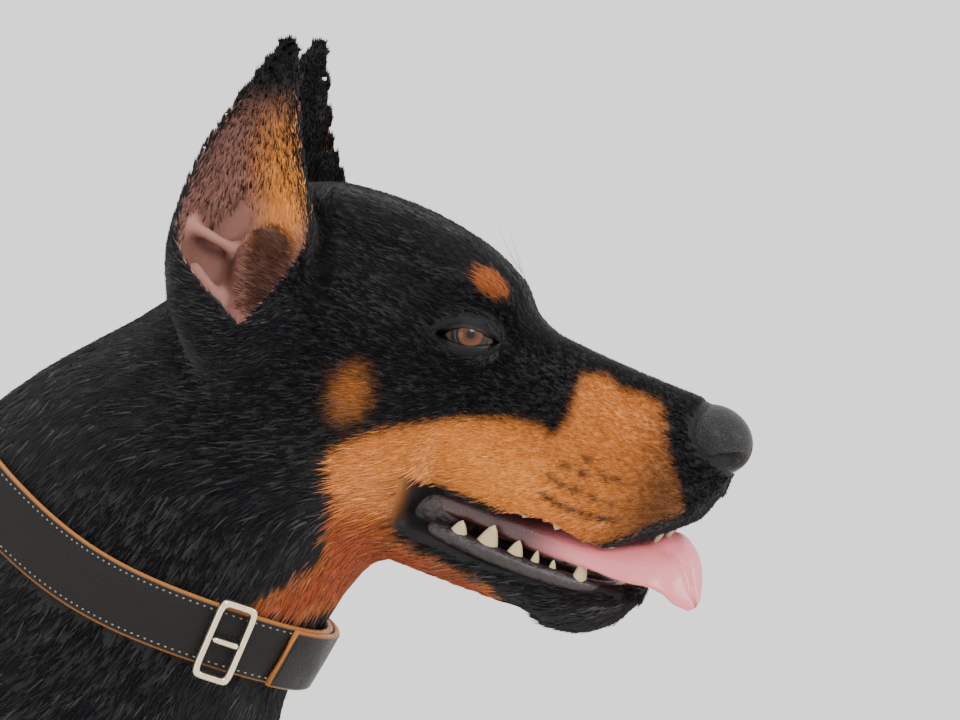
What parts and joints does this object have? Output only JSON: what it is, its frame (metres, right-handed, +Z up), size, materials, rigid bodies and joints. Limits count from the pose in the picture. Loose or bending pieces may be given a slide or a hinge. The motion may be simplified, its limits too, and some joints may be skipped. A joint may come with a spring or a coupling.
{
  "type": "doberman pinscher dog",
  "caption": "Life-size standing Doberman Pinscher with upright cropped ears, docked tail, mouth a little open with the tongue out, and a buckled leather collar.",
  "frame": {"origin": "middle of the bounding box at floor level, between the four paws", "axes": "+X towards the nose, +Y to the dog's left, +Z up"},
  "size_m": [1.0252, 0.2466, 0.9852],
  "materials": {
    "coat": "short glossy black coat",
    "rust": "short rust-coloured coat",
    "nose": "moist, finely pebbled black",
    "eye": "polished reddish brown",
    "tongue": "moist pink",
    "leather": "worn black with raw tan edges",
    "brass": "pale, worn"
  },
  "bodies": {
    "root": {"head": "coat", "lower_jaw": "coat", "ear_right": "coat", "ear_left": "coat", "neck": "coat", "torso": "coat", "tail": "coat", "foreleg_upper_right": "coat", "foreleg_lower_right": "coat", "hindleg_upper_right": "coat", "hindleg_lower_right": "coat", "foreleg_upper_left": "coat", "foreleg_lower_left": "coat", "hindleg_upper_left": "coat", "hindleg_lower_left": "coat", "forepaw_right": "rust", "hindpaw_right": "rust", "forepaw_left": "rust", "hindpaw_left": "rust", "nose": "nose", "eye_right": "eye", "eye_left": "eye", "tongue": "tongue", "collar_strap": "leather", "collar_end": "leather", "collar_buckle": "brass", "collar_pin": "brass"}
  },
  "joints": []
}
